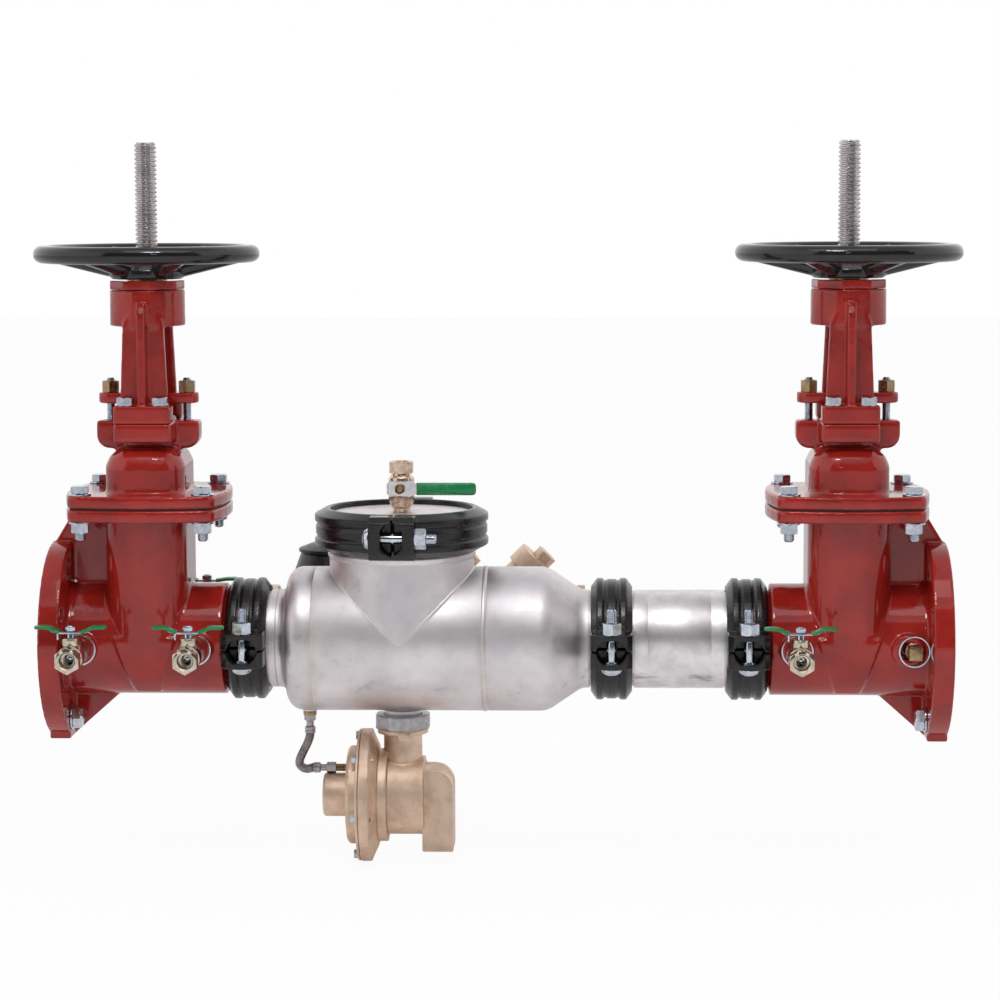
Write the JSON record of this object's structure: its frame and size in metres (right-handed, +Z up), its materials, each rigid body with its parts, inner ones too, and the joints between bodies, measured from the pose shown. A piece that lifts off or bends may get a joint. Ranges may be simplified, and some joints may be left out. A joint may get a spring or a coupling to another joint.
{
  "type": "reduced pressure detector assembly",
  "caption": "Fire line backflow preventer: two rising stem gate valves with handwheels, a check body with a coupled cover, a relief valve and a metered bypass line.",
  "frame": {"origin": "centre of the inlet flange face, on the axis of the main pipe", "axes": "+X along the main pipe with the flow, +Z up along the valve stems, -Y toward the side with the test cocks"},
  "size_m": [1.0704, 0.38, 0.8408],
  "materials": {
    "red_paint": "gloss",
    "black_enamel": "gloss",
    "coupling_black": "satin",
    "stainless": "satin",
    "polished_steel": "polished",
    "cast_bronze": "cast",
    "machined_brass": "machined",
    "zinc_plate": "satin",
    "nickel_plate": "satin",
    "green_vinyl": "semi-gloss",
    "gate_rubber": "matte",
    "hose_braid": "woven",
    "black_plastic": "satin"
  },
  "bodies": {
    "assembly": {"inlet_valve_body": "red_paint", "inlet_bonnet": "red_paint", "inlet_gland": "red_paint", "inlet_yoke": "red_paint", "inlet_yoke_cap": "red_paint", "outlet_valve_body": "red_paint", "outlet_bonnet": "red_paint", "outlet_gland": "red_paint", "outlet_yoke": "red_paint", "outlet_yoke_cap": "red_paint", "boss_plug": "machined_brass", "bonnet_gaskets": "gate_rubber", "stem_packing": "gate_rubber", "bonnet_bolts": "zinc_plate", "yoke_bolts": "zinc_plate", "gland_studs": "machined_brass", "coupling_uppers": "coupling_black", "coupling_lowers": "coupling_black", "cover_coupling_left": "coupling_black", "cover_coupling_right": "coupling_black", "coupling_gaskets": "gate_rubber", "coupling_bolts": "zinc_plate", "check_body": "stainless", "spool_pipe": "stainless", "cover_plate": "stainless", "check_seats": "stainless", "check_spring_1": "zinc_plate", "check_spring_2": "zinc_plate", "relief_body": "cast_bronze", "relief_cover": "cast_bronze", "relief_diaphragm": "gate_rubber", "relief_union_nut": "stainless", "relief_spring": "zinc_plate", "relief_screws": "zinc_plate", "sensing_hose": "hose_braid", "hose_fittings": "zinc_plate", "test_cock_bodies": "nickel_plate", "cover_cock_body": "cast_bronze", "bypass_pipes": "cast_bronze", "bypass_valve_bodies": "cast_bronze", "bypass_meter": "cast_bronze", "bypass_backflow": "cast_bronze"},
    "inlet_wheel": {"inlet_handwheel": "black_enamel", "inlet_stem_nut": "machined_brass"},
    "inlet_rod": {"inlet_stem": "polished_steel", "inlet_gate": "gate_rubber"},
    "outlet_wheel": {"outlet_handwheel": "black_enamel", "outlet_stem_nut": "machined_brass"},
    "outlet_rod": {"outlet_stem": "polished_steel", "outlet_gate": "gate_rubber"},
    "cock_1_handle": {"cock_handle_1": "green_vinyl"},
    "cock_2_handle": {"cock_handle_2": "green_vinyl"},
    "cover_lever": {"cover_cock_lever": "green_vinyl"},
    "cock_4_handle": {"cock_handle_4": "green_vinyl"},
    "bypass_in_handle": {"bypass_handle_in": "green_vinyl"},
    "bypass_out_handle": {"bypass_handle_out": "green_vinyl"},
    "first_check": {"check_disc_1": "gate_rubber"},
    "second_check": {"check_disc_2": "gate_rubber"},
    "relief_rod": {"relief_plunger": "machined_brass"},
    "register_lid": {"meter_lid": "black_plastic"}
  },
  "joints": [
    {"name": "inlet_wheel_turn", "type": "hinge", "parent": "assembly", "child": "inlet_wheel", "pos_m": [0.115, 0, 0.44], "axis": [0, 0, -1], "range_deg": [0, 7650]},
    {"name": "inlet_gate_slide", "type": "slide", "parent": "assembly", "child": "inlet_rod", "axis": [0, 0, -1], "range_m": [0, 0.108]},
    {"name": "outlet_wheel_turn", "type": "hinge", "parent": "assembly", "child": "outlet_wheel", "pos_m": [0.9246, 0, 0.44], "axis": [0, 0, -1], "range_deg": [0, 7650]},
    {"name": "outlet_gate_slide", "type": "slide", "parent": "assembly", "child": "outlet_rod", "axis": [0, 0, -1], "range_m": [0, 0.108]},
    {"name": "cock_1_turn", "type": "hinge", "parent": "assembly", "child": "cock_1_handle", "pos_m": [0.042, -0.13, -0.003], "axis": [0, 0, 1], "range_deg": [0, 90]},
    {"name": "cock_2_turn", "type": "hinge", "parent": "assembly", "child": "cock_2_handle", "pos_m": [0.175, -0.13, -0.003], "axis": [0, 0, 1], "range_deg": [0, 90]},
    {"name": "cock_4_turn", "type": "hinge", "parent": "assembly", "child": "cock_4_handle", "pos_m": [0.8646, -0.13, -0.003], "axis": [0, 0, 1], "range_deg": [0, 90]},
    {"name": "cover_cock_turn", "type": "hinge", "parent": "assembly", "child": "cover_lever", "pos_m": [0.4085, 0, 0.178], "axis": [0, -1, 0], "range_deg": [0, 90]},
    {"name": "bypass_in_turn", "type": "hinge", "parent": "assembly", "child": "bypass_in_handle", "pos_m": [0.164, 0.116, 0.02], "axis": [0, 0, 1], "range_deg": [0, 90]},
    {"name": "bypass_out_turn", "type": "hinge", "parent": "assembly", "child": "bypass_out_handle", "pos_m": [0.8756, 0.116, 0.02], "axis": [0, 0, 1], "range_deg": [0, 90]},
    {"name": "first_check_slide", "type": "slide", "parent": "assembly", "child": "first_check", "axis": [1, 0, 0], "range_m": [0, 0.024], "stiffness_N_per_m": 1500, "springref_m": -0.01, "deforming": ["check_spring_1"]},
    {"name": "second_check_slide", "type": "slide", "parent": "assembly", "child": "second_check", "axis": [1, 0, 0], "range_m": [0, 0.024], "stiffness_N_per_m": 1500, "springref_m": -0.01, "deforming": ["check_spring_2"]},
    {"name": "relief_slide", "type": "slide", "parent": "assembly", "child": "relief_rod", "axis": [-1, 0, 0], "range_m": [0, 0.006], "stiffness_N_per_m": 2500, "springref_m": -0.006, "deforming": ["relief_spring"]},
    {"name": "register_lid_turn", "type": "hinge", "parent": "assembly", "child": "register_lid", "pos_m": [0.363, 0.165, 0.085], "axis": [0, 1, 0], "range_deg": [0, 100]}
  ],
  "couplings": [
    {"joint": "inlet_gate_slide", "follows": "inlet_wheel_turn", "m_per_rad": 0.00080851},
    {"joint": "outlet_gate_slide", "follows": "outlet_wheel_turn", "m_per_rad": 0.00080851}
  ]
}
